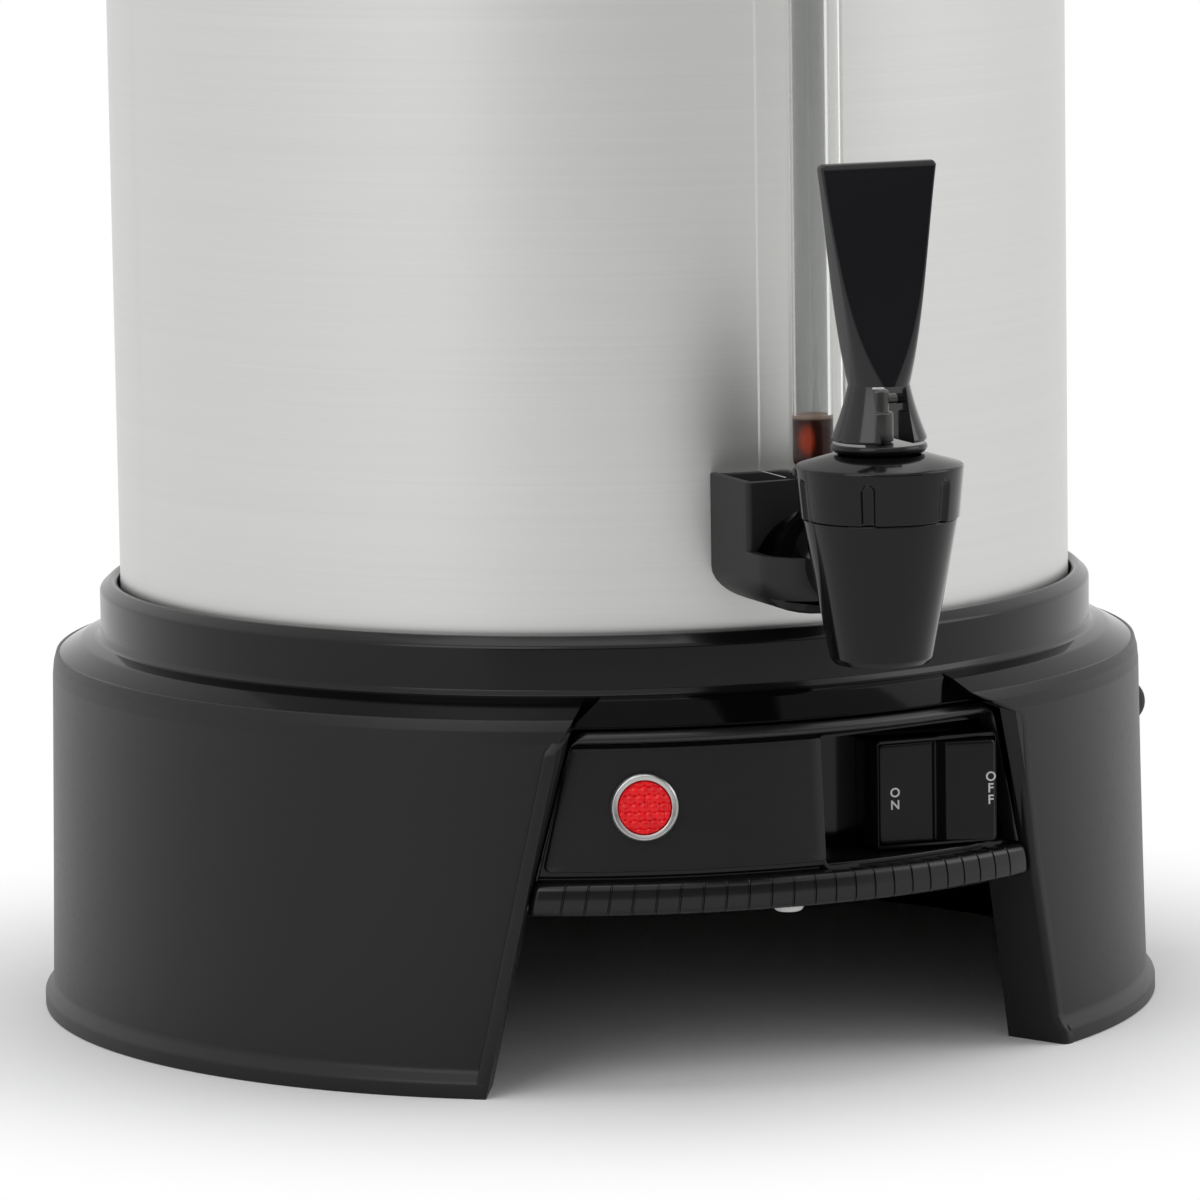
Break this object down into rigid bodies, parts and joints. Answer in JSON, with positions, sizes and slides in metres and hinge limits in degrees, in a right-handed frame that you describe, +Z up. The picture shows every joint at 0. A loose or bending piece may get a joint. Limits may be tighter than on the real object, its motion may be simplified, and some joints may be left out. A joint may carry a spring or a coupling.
{
  "type": "coffee urn",
  "caption": "Tall aluminium percolating coffee urn on a black moulded base with control panel, pilot lamp, rocker switch, sight gauge, pull faucet, lid and side handles.",
  "frame": {"origin": "centre of the whole urn's box, at the level it stands on", "axes": "+Z up, -Y to the front where the faucet is, +X to the right seen from the front"},
  "size_m": [0.369, 0.4012, 0.5463],
  "materials": {
    "aluminium": "brushed round the tank",
    "steel": "plain",
    "black": "fine satin moulding",
    "gloss_black": "gloss moulding",
    "rubber": "matt",
    "red_lens": "clear red with facets",
    "clear": "clear",
    "white": "plain",
    "brown": "phenolic"
  },
  "bodies": {
    "urn": {"tank": "aluminium", "base_shell": "black", "tank_gasket": "rubber", "control_panel": "gloss_black", "blank_plate": "black", "lamp_bezel": "steel", "lamp_lens": "red_lens", "lamp_body": "white", "switch_housing": "gloss_black", "bumper_ledge": "gloss_black", "bottom_pan": "steel", "panel_clip": "white", "center_stud": "steel", "stud_nut": "steel", "brew_heater": "aluminium", "warm_heater": "steel", "thermostat": "brown", "limit_switch": "brown", "cord_gland": "rubber", "gland_nut": "black", "faucet_shank": "gloss_black", "shank_washer": "rubber", "shank_nut": "steel", "gauge_bracket": "black", "gauge_seat": "rubber", "gauge_glass": "clear", "gauge_guard": "clear", "gauge_cap": "black", "faucet_body": "gloss_black", "bonnet_nut": "gloss_black", "bonnet_ring": "gloss_black", "faucet_spring": "steel", "handle_left": "black", "handle_right": "black", "handle_screw_left_front": "steel", "handle_screw_left_rear": "steel", "handle_screw_right_front": "steel", "handle_screw_right_rear": "steel"},
    "valve": {"valve_stem": "steel", "seat_cup": "rubber", "lever_pin": "steel"},
    "lever": {"lever": "gloss_black"},
    "rocker": {"rocker": "black"},
    "lid": {"lid": "aluminium", "lid_knob": "black", "knob_screw": "steel"},
    "basket": {"coffee_basket": "aluminium", "basket_cover": "aluminium", "pump_tube": "aluminium", "pump_foot": "aluminium", "pump_washer": "steel"}
  },
  "joints": [
    {"name": "valve_lift", "type": "slide", "parent": "urn", "child": "valve", "axis": [0, 0, 1], "range_m": [0, 0.0047], "deforming": ["faucet_spring"]},
    {"name": "lever_tilt", "type": "hinge", "parent": "valve", "child": "lever", "pos_m": [0, -0.1774, 0.1998], "axis": [1, 0, 0], "range_deg": [0, 25], "stiffness_Nm_per_rad": 0.5, "springref_deg": -11.46},
    {"name": "rocker_tilt", "type": "hinge", "parent": "urn", "child": "rocker", "pos_m": [0.0466, -0.1084, 0.078], "axis": [0, 0, 1], "range_deg": [0, 16]},
    {"name": "lid_lift", "type": "slide", "parent": "urn", "child": "lid", "axis": [0, 0, 1], "range_m": [0, 0.12]},
    {"name": "basket_lift", "type": "slide", "parent": "urn", "child": "basket", "axis": [0, 0, 1], "range_m": [0, 0.03]}
  ],
  "couplings": [
    {"joint": "valve_lift", "follows": "lever_tilt", "m_per_rad": 0.0105}
  ]
}
